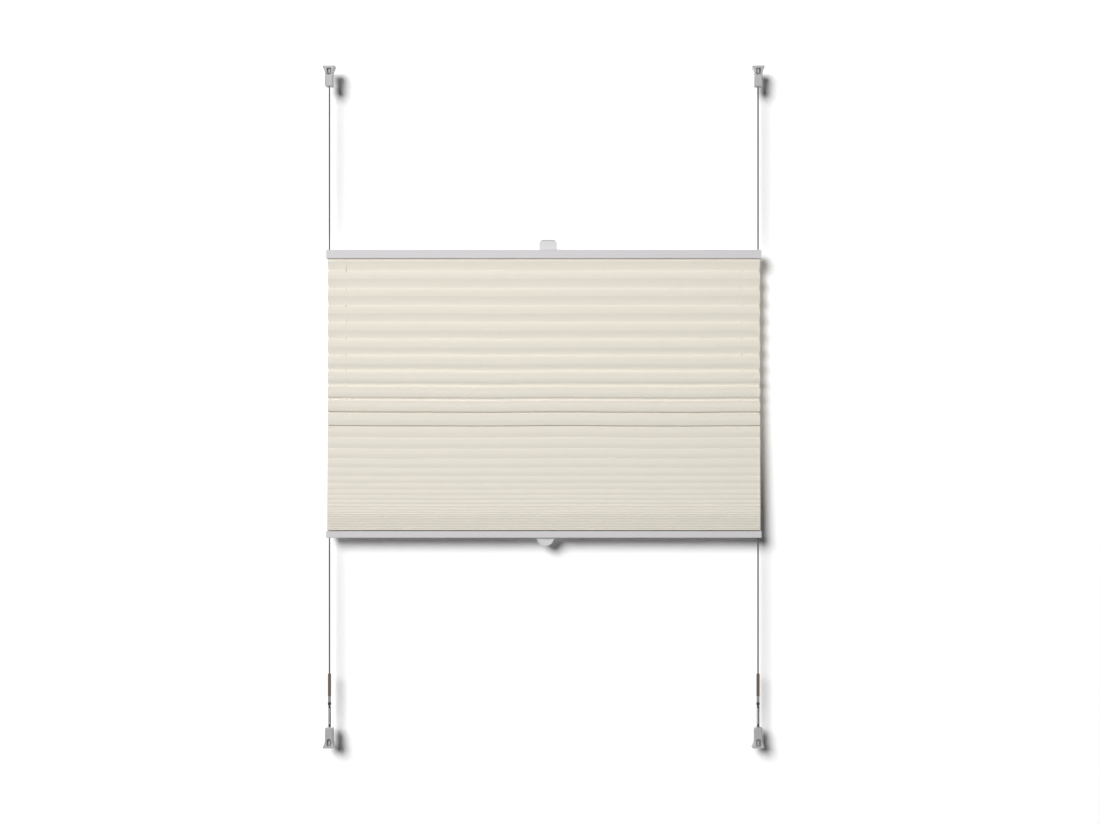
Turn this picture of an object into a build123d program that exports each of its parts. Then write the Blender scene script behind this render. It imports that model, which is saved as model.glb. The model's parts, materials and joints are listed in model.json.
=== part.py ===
from build123d import *

import os
from math import cos, hypot, pi, sqrt

os.makedirs("parts", exist_ok=True)

# A pleated blind whose two rails slide on two taut guide cords. Millimetres, +Z up, the front faces -Y.
# The origin is the middle of the line between the two upper fixing holes, on the faces that are screwed up.
# Each cord starts in an upper shoe, enters the end of the top rail, crosses to the other side inside it,
# passes down through the cloth, crosses back inside the bottom rail and ends in a sprung tensioner.

# ---- overall sizes ----
blind_w = 800.0  # rails, from end to end
cloth_h = 501.0  # cloth as it hangs, from rail to rail
upper_run = 301.0  # bare cord above the top rail
lower_run = 251.0  # bare cord below the bottom rail

# ---- guide cords ----
cord_d = 1.8
cord_inset = 5.0  # outer cord's centre, in from the rail's end
guide_inset = 35.0  # cord through the cloth, in from the rail's end
cross_y = 2.6  # the two crossing cords run this far either side of the rail's middle
cross_start = 15.0  # over this length a cord moves out from the middle to its own track
cord_bend = 3.0  # bend radius inside a rail
track_bend = 30.0  # radius of the slight bend where the cord joins its track
bore_d = 2.8  # channel for a cord in a cap or a guide
cloth_hole_d = 4.0  # hole for a cord in the cloth, the clamp strip and the rail's web

# ---- shoes ----
shoe_h = 37.5
shoe_w, shoe_depth = 15.0, 17.0  # body
foot_w, foot_depth = 22.5, 20.0  # flared foot
foot_edge = 2.2  # height of the foot's straight edge
flare_h = 13.0
shoe_corner = 3.0
shoe_end_fillet = 2.2
pocket_w, pocket_h, pocket_floor, pocket_depth = 8.4, 13.0, 4.0, 13.0
screw_d = 3.6  # fixing hole, for a 3.5 mm screw
boss_d, boss_h = 5.2, 8.0
bead_d, bead_h = 5.5, 5.0  # bead on the cord's end, and the head of a spring anchor
bead_seat = 9.5  # wall between the bead and the shoe's end
seat_gap = 0.3  # play round a bead in its seat
bead_bore_gap = 0.05

# ---- rails ----
rail_depth = 22.0
top_rail_h, bottom_rail_h = 16.0, 12.5
rail_corner = 1.5
wall = 1.2
web = 1.0
clamp_slot_h = 3.0  # height of the slot that holds the cloth and its clamp strip
mouth_w = 14.0  # opening of that slot
groove_w, groove_lip = 3.0, 1.0  # narrow part of the handle groove
groove_under_w, groove_under_h = 6.0, 1.2  # wide part of the handle groove
fit_gap = 0.2  # play of a plug, guide or strip inside the rail
cap_len = 1.5  # thickness of an end cap's flange
plug_len = 24.0
guide_len = 16.0

# ---- cloth ----
cloth_t = 0.3
face_len = 20.0  # from fold to fold
pleats = 34
open_pitch, closed_pitch = 31.3, 3.0  # height of a pleat at the top and in the stack
stack_from = 26.5  # the pleat at which the stack starts
first_drop = 4.9  # first fold below the top rail
last_rise = 1.4  # last fold above the bottom rail
cloth_short = 0.3  # the cloth ends this far inside an end cap
hem_end_gap = 0.5  # from the hem's edge to the slot's side
hem_turn = 1.0  # the cloth turns into its lower hem this far behind the middle

# ---- handles ----
handle_t = 3.0
handle_shift_top, handle_shift_bottom = 8.0, 3.0  # to the right of the middle
top_handle_w, top_handle_h, top_handle_chamfer = 33.0, 19.5, 5.0
bottom_handle_w, bottom_handle_h = 31.5, 15.5
lip_reach, lip_h = 3.0, 2.0  # grip along a handle's free edge
handle_round = 2.0
foot_plate_depth, foot_plate_h = 9.0, 1.5
groove_play = 0.2

# ---- tensioners ----
sleeve_d, sleeve_len = 6.0, 41.0
barrel_d, barrel_len = 5.4, 11.5
barrel_bore_d = 4.0
knot_d, knot_h = 3.6, 3.5  # bead on the cord's lower end, inside the barrel
collar_d, collar_len = 6.2, 5.5
spring_len = 40.5
wire_d, spring_od, coil_pitch = 1.2, 5.6, 1.95
plug_in_spring = 6.0
turning_gap = 0.1  # play round a turned piece
end_gap = 0.3  # play at each end of the spring
sleeve_bore_d = 2.4

# ---- places worked out from the sizes ----
cord_x = blind_w / 2 - cord_inset
guide_x = blind_w / 2 - guide_inset
top_rail_low = -shoe_h - upper_run - top_rail_h  # the top rail's face towards the cloth
bottom_rail_high = top_rail_low - cloth_h  # the bottom rail's face towards the cloth
sleeve_top = bottom_rail_high - bottom_rail_h - lower_run
barrel_top = sleeve_top - sleeve_len
collar_top = barrel_top - barrel_len
spring_top = collar_top - collar_len
spring_low = spring_top - spring_len
total_low = spring_low - shoe_h
web_low = wall + clamp_slot_h  # heights inside a rail count from its face towards the cloth
web_high = web_low + web
inner_w = rail_depth - 2 * wall
groove_depth = groove_lip + groove_under_h
spring_mean_r = (spring_od - wire_d) / 2
spring_plug_r = spring_mean_r - wire_d / 2 - turning_gap
bead_low = shoe_h - bead_seat - bead_h  # counted from the shoe's foot
rails = {
    "top": {"face": top_rail_low, "out": 1, "h": top_rail_h},
    "bottom": {"face": bottom_rail_high, "out": -1, "h": bottom_rail_h},
}
sides = {"left": -1, "right": 1}


def save(piece, node):
    piece.part.label = node
    export_step(piece.part, f"parts/{node}.step")


def at_height(rail, height):
    """The level of a height inside a rail, counted from its face towards the cloth."""
    return rail["face"] + rail["out"] * height


def across(rail, x=0.0):
    """A plane across a rail at x: its own x is +Y, and its own y points away from the cloth."""
    return Plane(origin=(x, 0, rail["face"]), x_dir=(0, 1, 0), z_dir=(rail["out"], 0, 0))


# ---- shoes: a flared foot on a rounded block ----
with BuildPart() as shoe_shape:
    with BuildSketch(Plane.XY):
        RectangleRounded(foot_w, foot_depth, shoe_corner)
    extrude(amount=-foot_edge)
    with BuildSketch(Plane.XY.offset(-foot_edge)):
        RectangleRounded(foot_w, foot_depth, shoe_corner)
    with BuildSketch(Plane.XY.offset(-(foot_edge + flare_h) / 2)):
        RectangleRounded((foot_w + 2 * shoe_w) / 3, (foot_depth + 2 * shoe_depth) / 3, shoe_corner)
    with BuildSketch(Plane.XY.offset(-flare_h)):
        RectangleRounded(shoe_w, shoe_depth, shoe_corner)
    loft(ruled=True)
    with BuildSketch(Plane.XY.offset(-flare_h)):
        RectangleRounded(shoe_w, shoe_depth, shoe_corner)
    extrude(amount=flare_h - shoe_h)
    fillet(faces().sort_by(Axis.Z)[0].edges(), shoe_end_fillet)
    # front pocket with the fixing boss in it
    with BuildSketch(Plane.XZ.offset(foot_depth / 2)):
        with Locations((0, -pocket_floor - (pocket_h - pocket_w / 2) / 2)):
            Rectangle(pocket_w, pocket_h - pocket_w / 2)
        with Locations((0, -pocket_floor - pocket_h + pocket_w / 2)):
            Circle(pocket_w / 2)
    extrude(amount=-pocket_depth, mode=Mode.SUBTRACT)
    with BuildSketch(Plane.XY.offset(-pocket_floor)):
        Circle(boss_d / 2)
    extrude(amount=-boss_h)
    with BuildSketch(Plane.XY):
        Circle(screw_d / 2)
    extrude(amount=-pocket_floor - boss_h, mode=Mode.SUBTRACT)
    # rear slot: the cord drops in from behind and its bead seats above
    with BuildSketch(Plane.XY.offset(-bead_low + seat_gap)):
        Circle(bead_d / 2 + seat_gap)
        with Locations((0, foot_depth / 2)):
            Rectangle(bead_d + 2 * seat_gap, foot_depth)
    extrude(amount=-bead_h - seat_gap, mode=Mode.SUBTRACT)
    with BuildSketch(Plane.XY.offset(-bead_low - bead_h)):
        Circle(spring_plug_r + turning_gap)
        with Locations((0, foot_depth / 2)):
            Rectangle(2 * (spring_plug_r + turning_gap), foot_depth)
    extrude(amount=-bead_seat, mode=Mode.SUBTRACT)

shoe_for_below = mirror(shoe_shape.part, Plane.XY)

for side, s in sides.items():
    with BuildPart() as upper_shoe:
        add(shoe_shape.part.moved(Location((s * cord_x, 0, 0))))
    save(upper_shoe, f"{side}_upper_shoe")

    with BuildPart() as lower_shoe:
        add(shoe_for_below.moved(Location((s * cord_x, 0, total_low))))
    save(lower_shoe, f"{side}_lower_shoe")

    with BuildPart() as upper_bead:
        with BuildSketch(Plane((s * cord_x, 0, -bead_low - bead_h))):
            Circle(bead_d / 2)
            Circle(cord_d / 2 + bead_bore_gap, mode=Mode.SUBTRACT)
        extrude(amount=bead_h)
    save(upper_bead, f"{side}_upper_bead")

# ---- rails ----
def chamber(rail, play):
    """The outline of the rail's chamber, which goes round the handle groove, less some play all round."""
    ceiling = rail["h"] - wall
    groove_floor = rail["h"] - groove_depth - wall
    groove_side = groove_under_w / 2 + wall
    half = [
        (inner_w / 2 - play, web_high + play),
        (inner_w / 2 - play, ceiling - play),
        (groove_side + play, ceiling - play),
        (groove_side + play, groove_floor - play),
    ]
    return half + [(-y, height) for y, height in reversed(half)]


def cross_path(rail, s, extra):
    """The way of one cord inside a rail, from the end at side s to the cloth hole at the other side."""
    track_y = -s * cross_y
    run = at_height(rail, run_height(rail))
    return (
        (s * cord_x, 0, at_height(rail, rail["h"] + extra)),
        (s * cord_x, 0, run),
        (s * (cord_x - cross_start), track_y, run),
        (-s * guide_x, track_y, run),
        (-s * guide_x, track_y, at_height(rail, -extra)),
    )


def run_height(rail):
    """Half-way between the web and the floor of the handle groove."""
    return (web_high + rail["h"] - groove_depth - wall) / 2


def cord_in_rail(rail, s, diameter, extra):
    """One cord, or with a larger diameter the channel for it, inside a rail."""
    with BuildPart() as run:
        with BuildLine():
            FilletPolyline(*cross_path(rail, s, extra), radius=[cord_bend, track_bend, cord_bend])
        start = Plane((s * cord_x, 0, at_height(rail, rail["h"] + extra)))
        with BuildSketch(start):
            Circle(diameter / 2)
        sweep()
    return run.part


for name, rail in rails.items():
    channels = [cord_in_rail(rail, s, bore_d, 1.0) for s in sides.values()]

    with BuildPart() as profile:
        with BuildSketch(across(rail)):
            with Locations((0, rail["h"] / 2)):
                RectangleRounded(rail_depth, rail["h"], rail_corner)
            with BuildLine():
                Polyline(*chamber(rail, 0), close=True)
            make_face(mode=Mode.SUBTRACT)
            with Locations((0, wall + clamp_slot_h / 2)):
                Rectangle(inner_w, clamp_slot_h, mode=Mode.SUBTRACT)
            with Locations((0, wall / 2)):
                Rectangle(mouth_w, wall, mode=Mode.SUBTRACT)
            with Locations((0, rail["h"] - groove_lip / 2)):
                Rectangle(groove_w, groove_lip, mode=Mode.SUBTRACT)
            with Locations((0, rail["h"] - groove_lip - groove_under_h / 2)):
                Rectangle(groove_under_w, groove_under_h, mode=Mode.SUBTRACT)
        extrude(amount=blind_w / 2 - cap_len, both=True)
        with BuildSketch(Plane.XY.offset(at_height(rail, web_low + web / 2))):
            with Locations(*[(-s * guide_x, -s * cross_y) for s in sides.values()]):
                Circle(cloth_hole_d / 2)
        extrude(amount=web, both=True, mode=Mode.SUBTRACT)
        with BuildSketch(Plane.XY.offset(at_height(rail, rail["h"]))):
            with Locations(*[(s * cord_x, 0) for s in sides.values()]):
                Circle(bore_d / 2)
        extrude(amount=-rail["out"] * (groove_depth + wall), mode=Mode.SUBTRACT)
    save(profile, f"{name}_rail_profile")

    with BuildPart() as clamp_strip:
        strip_low, strip_high = wall + cloth_t, web_low - fit_gap
        with BuildSketch(across(rail)):
            with Locations((0, (strip_low + strip_high) / 2)):
                Rectangle(inner_w - 2 * fit_gap, strip_high - strip_low)
        extrude(amount=blind_w / 2 - cap_len - fit_gap, both=True)
        with BuildSketch(Plane.XY.offset(at_height(rail, strip_low))):
            with Locations(*[(-s * guide_x, -s * cross_y) for s in sides.values()]):
                Circle(cloth_hole_d / 2)
        extrude(amount=clamp_slot_h, both=True, mode=Mode.SUBTRACT)
    save(clamp_strip, f"{name}_rail_clamp_strip")

    for side, s in sides.items():
        with BuildPart() as end_cap:
            with BuildSketch(across(rail, s * (blind_w / 2 - cap_len / 2))):
                with Locations((0, rail["h"] / 2)):
                    RectangleRounded(rail_depth, rail["h"], rail_corner)
            extrude(amount=cap_len / 2, both=True)
            with BuildSketch(across(rail, s * (blind_w / 2 - cap_len - plug_len / 2))):
                with BuildLine():
                    Polyline(*chamber(rail, fit_gap), close=True)
                make_face()
            extrude(amount=plug_len / 2, both=True)
            for channel in channels:
                add(channel, mode=Mode.SUBTRACT)
        save(end_cap, f"{name}_rail_{side}_cap")

        with BuildPart() as cord_guide:
            with BuildSketch(across(rail, s * guide_x)):
                with BuildLine():
                    Polyline(*chamber(rail, fit_gap), close=True)
                make_face()
            extrude(amount=guide_len / 2, both=True)
            for channel in channels:
                add(channel, mode=Mode.SUBTRACT)
        save(cord_guide, f"{name}_rail_{side}_cord_guide")

        with BuildPart() as crossing_cord:
            add(cord_in_rail(rail, s, cord_d, 0.0))
        save(crossing_cord, f"{name}_rail_cord_from_{side}")

# ---- handles: a plate with a gripping lip, on a foot that slides in the rail's groove ----
def handle_foot(rail):
    """The half section of a handle's foot: the plate on the rail, the neck and the tee in its groove."""
    neck = groove_w / 2 - groove_play
    tee = groove_under_w / 2 - groove_play
    tee_top = rail["h"] - groove_lip - groove_play
    half = [
        (foot_plate_depth / 2, rail["h"] + foot_plate_h),
        (foot_plate_depth / 2, rail["h"]),
        (neck, rail["h"]),
        (neck, tee_top),
        (tee, tee_top),
        (tee, rail["h"] - groove_depth + groove_play),
    ]
    return half + [(-y, height) for y, height in reversed(half)]


def facing_front(rail, x, y):
    """A plane facing the front or the back at y: its own y points away from the cloth."""
    return Plane(origin=(x, y, at_height(rail, rail["h"])), x_dir=(1, 0, 0), z_dir=(0, -rail["out"], 0))


def half_disc(half_width, rise):
    """Start, top and end of the arc of a half disc that stands on the rail."""
    return (-half_width, 0), (0, rise), (half_width, 0)


with BuildPart() as top_handle:
    rail, x = rails["top"], handle_shift_top
    with BuildSketch(across(rail, x)):
        with BuildLine():
            Polyline(*handle_foot(rail), close=True)
        make_face()
    extrude(amount=top_handle_w / 2, both=True)
    with BuildSketch(facing_front(rail, x, 0)) as plate:
        with Locations((0, top_handle_h / 2)):
            Rectangle(top_handle_w, top_handle_h)
        chamfer(plate.vertices().group_by(Axis.Y)[-1], top_handle_chamfer)
        fillet(plate.vertices().filter_by_position(Axis.Y, top_handle_h / 2, top_handle_h), handle_round)
    extrude(amount=handle_t / 2, both=True)
    with BuildSketch(facing_front(rail, x, -handle_t / 2)):
        with Locations((0, top_handle_h - lip_h / 2)):
            SlotOverall(top_handle_w - 2 * top_handle_chamfer, lip_h)
    extrude(amount=rail["out"] * lip_reach)
save(top_handle, "top_rail_handle")

with BuildPart() as bottom_handle:
    rail, x = rails["bottom"], handle_shift_bottom
    with BuildSketch(across(rail, x)):
        with BuildLine():
            Polyline(*handle_foot(rail), close=True)
        make_face()
    extrude(amount=bottom_handle_w / 2, both=True)
    with BuildSketch(facing_front(rail, x, 0)):
        with BuildLine():
            edge = ThreePointArc(*half_disc(bottom_handle_w / 2, bottom_handle_h))
            Line(edge @ 0, edge @ 1)
        make_face()
    extrude(amount=handle_t / 2, both=True)
    with BuildSketch(facing_front(rail, x, -handle_t / 2)):
        with BuildLine():
            edge = ThreePointArc(*half_disc(bottom_handle_w / 2, bottom_handle_h))
            Line(edge @ 0, edge @ 1)
        make_face()
        with BuildLine():
            edge = ThreePointArc(*half_disc(bottom_handle_w / 2 - lip_h, bottom_handle_h - lip_h))
            Line(edge @ 0, edge @ 1)
        make_face(mode=Mode.SUBTRACT)
    extrude(amount=rail["out"] * lip_reach)
save(bottom_handle, "bottom_rail_handle")

# ---- cloth: one sheet, folded into pleats that close up towards the bottom rail ----
def pitch(pleat):
    """The height of a pleat, counted from the top, before the cloth is fitted between the rails."""
    if pleat >= stack_from:
        return closed_pitch
    return closed_pitch + (open_pitch - closed_pitch) * (1 + cos(pi * pleat / stack_from)) / 2


def folded_cloth():
    """The cloth's line in side view, hem to hem, as (y, z) points at its folds."""
    hem = wall + cloth_t / 2
    hem_edge = inner_w / 2 - hem_end_gap
    drops = [pitch(face / 2) / 2 for face in range(2 * pleats - 1)]
    fitted = (cloth_h - first_drop - last_rise) / sum(drops)
    drops = [drop * fitted for drop in drops]
    depths = [sqrt(face_len**2 - drop**2) for drop in drops]
    folds = []
    z = top_rail_low - first_drop
    for fold in range(2 * pleats):
        above, below = depths[max(fold - 1, 0)], depths[min(fold, len(depths) - 1)]
        folds.append(((1 if fold % 2 else -1) * (above + below) / 4, z))
        z -= drops[fold] if fold < len(drops) else 0
    slope = depths[0] / drops[0]
    leaves_top = (folds[0][0] + (first_drop + hem) * slope, top_rail_low + hem)
    leaves_bottom = (hem_turn, bottom_rail_high - hem)
    return [
        (hem_edge, top_rail_low + hem),
        leaves_top,
        *folds,
        leaves_bottom,
        (-hem_edge, bottom_rail_high - hem),
    ]


def sheet_outline(line, thickness):
    """The closed outline of a sheet along a zigzag line: mitred inside each fold, bevelled outside it."""
    half = thickness / 2
    sides_of_line = ([], [])
    for before, here, after in zip([None, *line], line, [*line[1:], None]):
        normals = []
        for a, b in ((before, here), (here, after)):
            if a and b:
                long = hypot(b[0] - a[0], b[1] - a[1])
                normals.append((-(b[1] - a[1]) / long, (b[0] - a[0]) / long))
        n1, n2 = normals[0], normals[-1]
        turn = n1[0] * n2[1] - n1[1] * n2[0]
        share = 1 / (1 + n1[0] * n2[0] + n1[1] * n2[1])
        mitre = ((n1[0] + n2[0]) * share, (n1[1] + n2[1]) * share)
        for side, out in zip(sides_of_line, (1, -1)):
            corners = [mitre] if turn * out >= 0 else [n1, n2]
            side += [(here[0] + out * half * x, here[1] + out * half * y) for x, y in corners]
    return sides_of_line[0] + sides_of_line[1][::-1]


with BuildPart() as pleated_cloth:
    with BuildSketch(Plane.YZ):
        with BuildLine():
            Polyline(*sheet_outline(folded_cloth(), cloth_t), close=True)
        make_face()
    extrude(amount=blind_w / 2 - cap_len - cloth_short, both=True)
    with BuildSketch(Plane.XY.offset(top_rail_low + wall + cloth_t)):
        with Locations(*[(-s * guide_x, -s * cross_y) for s in sides.values()]):
            Circle(cloth_hole_d / 2)
    extrude(amount=-cloth_h - 2 * (wall + cloth_t), mode=Mode.SUBTRACT)
save(pleated_cloth, "pleated_cloth")

# ---- cords outside the rails, and the tensioners on their lower ends ----
knot_low = collar_top + barrel_len / 2
for side, s in sides.items():
    x = s * cord_x

    with BuildPart() as upper_cord:
        with BuildSketch(Plane((x, 0, top_rail_low + top_rail_h))):
            Circle(cord_d / 2)
        extrude(amount=-bead_low - top_rail_low - top_rail_h)
    save(upper_cord, f"{side}_upper_cord")

    with BuildPart() as cloth_cord:
        with BuildSketch(Plane((-s * guide_x, -s * cross_y, bottom_rail_high))):
            Circle(cord_d / 2)
        extrude(amount=cloth_h)
    save(cloth_cord, f"cloth_cord_from_{side}")

    with BuildPart() as lower_cord:
        with BuildSketch(Plane((x, 0, knot_low))):
            Circle(cord_d / 2)
        extrude(amount=bottom_rail_high - bottom_rail_h - knot_low)
    save(lower_cord, f"{side}_lower_cord")

    with BuildPart() as knot:
        with BuildSketch(Plane((x, 0, knot_low))):
            Circle(knot_d / 2)
            Circle(cord_d / 2 + bead_bore_gap, mode=Mode.SUBTRACT)
        extrude(amount=knot_h)
    save(knot, f"{side}_lower_bead")

    with BuildPart() as sleeve:
        with BuildSketch(Plane((x, 0, barrel_top))):
            Circle(sleeve_d / 2)
            Circle(sleeve_bore_d / 2, mode=Mode.SUBTRACT)
        extrude(amount=sleeve_len)
        fillet(edges().filter_by(GeomType.CIRCLE).group_by(SortBy.RADIUS)[-1], 0.6)
    save(sleeve, f"{side}_cord_sleeve")

    with BuildPart() as barrel:
        with BuildSketch(Plane((x, 0, collar_top))):
            Circle(barrel_d / 2)
        extrude(amount=barrel_len)
        with BuildSketch(Plane((x, 0, collar_top))):
            Circle(barrel_bore_d / 2)
        extrude(amount=knot_low + knot_h - collar_top, mode=Mode.SUBTRACT)
        with BuildSketch(Plane((x, 0, collar_top))):
            Circle(sleeve_bore_d / 2)
        extrude(amount=barrel_len, mode=Mode.SUBTRACT)
    save(barrel, f"{side}_cord_barrel")

    with BuildPart() as collar:
        with BuildSketch(Plane((x, 0, spring_top))):
            Circle(collar_d / 2)
        extrude(amount=collar_len)
        fillet(edges().filter_by(GeomType.CIRCLE), 0.5)
        with BuildSketch(Plane((x, 0, collar_top))):
            Circle(barrel_bore_d / 2 - turning_gap)
        extrude(amount=barrel_len / 4)
        with BuildSketch(Plane((x, 0, spring_top))):
            Circle(spring_plug_r)
        extrude(amount=-plug_in_spring)
    save(collar, f"{side}_spring_collar")

    with BuildPart() as spring:
        coil_low = spring_low + end_gap + wire_d / 2
        with BuildLine() as coil:
            Helix(coil_pitch, spring_len - 2 * end_gap - wire_d, spring_mean_r, center=(x, 0, coil_low))
        with BuildSketch(Plane(origin=coil.line @ 0, z_dir=coil.line % 0)):
            Circle(wire_d / 2)
        sweep(is_frenet=True)
    save(spring, f"{side}_tension_spring")

    with BuildPart() as anchor:
        head_low = total_low + bead_low
        with BuildSketch(Plane((x, 0, head_low))):
            Circle(bead_d / 2)
        extrude(amount=bead_h)
        with BuildSketch(Plane((x, 0, head_low + bead_h))):
            Circle(spring_plug_r)
        extrude(amount=bead_seat + plug_in_spring)
    save(anchor, f"{side}_spring_anchor")
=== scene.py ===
"""Pleated blind: cloth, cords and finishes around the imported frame. Metres, +Z up, the front faces -Y."""
import json
import math

import bpy
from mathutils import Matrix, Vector


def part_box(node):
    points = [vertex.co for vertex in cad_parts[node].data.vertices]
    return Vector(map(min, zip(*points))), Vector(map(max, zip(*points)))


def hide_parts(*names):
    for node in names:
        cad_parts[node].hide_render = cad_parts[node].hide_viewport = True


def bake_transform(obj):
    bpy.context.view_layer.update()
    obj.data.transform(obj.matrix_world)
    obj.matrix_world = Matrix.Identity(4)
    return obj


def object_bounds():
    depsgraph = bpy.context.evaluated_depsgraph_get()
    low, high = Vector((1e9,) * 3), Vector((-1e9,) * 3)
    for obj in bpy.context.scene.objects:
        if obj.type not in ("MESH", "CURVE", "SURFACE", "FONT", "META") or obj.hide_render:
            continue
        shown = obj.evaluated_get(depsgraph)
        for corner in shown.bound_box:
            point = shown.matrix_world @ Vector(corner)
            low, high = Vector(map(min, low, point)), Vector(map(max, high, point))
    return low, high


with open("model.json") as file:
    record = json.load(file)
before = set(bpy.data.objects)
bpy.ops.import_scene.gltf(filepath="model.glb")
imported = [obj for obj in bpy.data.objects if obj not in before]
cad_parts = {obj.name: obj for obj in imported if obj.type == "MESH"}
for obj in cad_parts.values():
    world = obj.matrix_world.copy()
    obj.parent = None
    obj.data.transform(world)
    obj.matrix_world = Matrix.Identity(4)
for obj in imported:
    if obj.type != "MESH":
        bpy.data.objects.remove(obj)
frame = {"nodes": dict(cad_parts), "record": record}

bl_info = {
    "name": "Pleated Blind",
    "version": (1, 0, 0),
    "blender": (4, 5, 0),
    "location": "3D View > Sidebar > Blind",
    "description": "Builds the cloth, cords and finishes of a pleated blind around its frame",
    "category": "Object",
}

MM = 0.001
CAD_BOX = [list(corner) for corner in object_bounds()]


def face_of(node, side):
    """The height of a CAD node's underside (0) or top (1)."""
    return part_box(node)[side][2]


TOP_RAIL_LOW = face_of("top_rail_profile", 0)
TOP_RAIL_HIGH = face_of("top_rail_profile", 1)
BOTTOM_RAIL_HIGH = face_of("bottom_rail_profile", 1)
BOTTOM_RAIL_LOW = face_of("bottom_rail_profile", 0)
CLOTH_LOW, CLOTH_HIGH = (Vector(corner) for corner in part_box("pleated_cloth"))
SIDES = ("left", "right")


# ------------------------------------------------------------------ settings
class BlindClothSettings(bpy.types.PropertyGroup):
    pleats: bpy.props.IntProperty(
        name="Pleats", description="Front folds from rail to rail", default=34, min=2)
    face: bpy.props.FloatProperty(
        name="Face", description="Cloth from one fold to the next", default=0.020, unit="LENGTH")
    open_pitch: bpy.props.FloatProperty(
        name="Open pitch", description="Height of a pleat at the top", default=0.0313, unit="LENGTH")
    closed_pitch: bpy.props.FloatProperty(
        name="Closed pitch", description="Height of a pleat in the stack", default=0.003, unit="LENGTH")
    stack_from: bpy.props.FloatProperty(
        name="Stack from", description="The pleat at which the stack starts", default=26.5)
    first_drop: bpy.props.FloatProperty(
        name="First drop", description="First fold below the top rail", default=0.0049, unit="LENGTH")
    last_rise: bpy.props.FloatProperty(
        name="Last rise", description="Last fold above the bottom rail", default=0.0014, unit="LENGTH")
    tuck: bpy.props.FloatProperty(
        name="Tuck", description="Cloth that reaches up into a rail's mouth",
        default=0.001, unit="LENGTH")
    still_height: bpy.props.FloatProperty(
        name="Still height", description="Level of the fold that neither rail moves",
        default=-0.722, unit="LENGTH")
    thickness: bpy.props.FloatProperty(
        name="Thickness", description="Thickness of the cloth", default=0.0003, unit="LENGTH")
    hole: bpy.props.FloatProperty(
        name="Cord hole", description="Radius of the hole for a guide cord",
        default=0.00105, unit="LENGTH")
    cord_depth: bpy.props.FloatProperty(
        name="Cord depth", description="How far behind the middle a cord passes the pleats",
        default=0.0034, unit="LENGTH")
    wander: bpy.props.FloatProperty(
        name="Wander", description="How far a fold strays from level", default=0.0013, unit="LENGTH")
    colour: bpy.props.FloatVectorProperty(
        name="Cloth colour", description="Colour of the threads", subtype="COLOR",
        default=(0.79, 0.748, 0.66))


class BlindFinishSettings(bpy.types.PropertyGroup):
    rail: bpy.props.FloatVectorProperty(
        name="Rail", description="Coating of the rails", subtype="COLOR", default=(0.612, 0.599, 0.612))
    shoe: bpy.props.FloatVectorProperty(
        name="Shoe", description="Moulded shoes", subtype="COLOR", default=(0.44, 0.44, 0.44))
    handle: bpy.props.FloatVectorProperty(
        name="Handle", description="Moulded handles", subtype="COLOR", default=(0.58, 0.58, 0.59))
    cord: bpy.props.FloatVectorProperty(
        name="Cord", description="Braided guide cord", subtype="COLOR",
        default=(0.115, 0.112, 0.106))
    sleeve: bpy.props.FloatVectorProperty(
        name="Sleeve", description="Sleeve of the tensioner", subtype="COLOR",
        default=(0.145, 0.115, 0.09))
    cord_radius: bpy.props.FloatProperty(
        name="Cord radius", description="Half the cord's thickness", default=0.0014, unit="LENGTH")


# ------------------------------------------------------------------ node helpers
def linked(tree, node, inputs):
    """Sets a node's inputs: a socket is linked, anything else is its value."""
    for key, value in inputs.items():
        if isinstance(value, bpy.types.NodeSocket):
            tree.links.new(value, node.inputs[key])
        else:
            node.inputs[key].default_value = value
    return node


def add(tree, kind, inputs=None, **settings):
    """A new node with these inputs and settings."""
    node = tree.nodes.new(kind)
    for key, value in settings.items():
        setattr(node, key, value)
    return linked(tree, node, inputs or {})


class Maths:
    """Short calls for Math nodes in one tree."""

    def __init__(self, tree):
        self.tree = tree

    def __call__(self, operation, *values):
        node = add(self.tree, "ShaderNodeMath", dict(enumerate(values)), operation=operation)
        return node.outputs[0]


def new_tree(name, kind, inputs, outputs):
    """A node group with named sockets: (name, socket type, default or None)."""
    tree = bpy.data.node_groups.new(name, kind)
    for label, socket, default in inputs:
        made = tree.interface.new_socket(label, in_out="INPUT", socket_type=socket)
        if default is not None:
            made.default_value = default
    for label, socket in outputs:
        tree.interface.new_socket(label, in_out="OUTPUT", socket_type=socket)
    return tree, tree.nodes.new("NodeGroupInput").outputs, tree.nodes.new("NodeGroupOutput")


# ------------------------------------------------------------------ shared effects
def grain_group():
    """Fine moulded or coated grain: a mask about 0.5, and its height."""
    tree, given, out = new_tree(
        "Grain", "ShaderNodeTree",
        [("Size", "NodeSocketFloat", 900.0), ("Stretch", "NodeSocketVector", (1, 1, 1))],
        [("Mask", "NodeSocketFloat"), ("Height", "NodeSocketFloat")])
    place = add(tree, "ShaderNodeTexCoord").outputs["Object"]
    stretched = add(tree, "ShaderNodeVectorMath", {0: place, 1: given["Stretch"]}, operation="MULTIPLY")
    fine = add(tree, "ShaderNodeTexNoise", {
        "Vector": stretched.outputs[0], "Scale": given["Size"], "Detail": 3.0, "Roughness": 0.6})
    maths = Maths(tree)
    patch_size, patch_share = 0.04, 0.6
    broad = add(tree, "ShaderNodeTexNoise", {
        "Vector": stretched.outputs[0], "Scale": maths("MULTIPLY", given["Size"], patch_size),
        "Detail": 2.0})
    speckle = maths("MULTIPLY", fine.outputs[0], 1.0 - patch_share)
    linked(tree, out, {
        "Mask": maths("MULTIPLY_ADD", broad.outputs[0], patch_share, speckle),
        "Height": fine.outputs[0]})
    return tree


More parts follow.
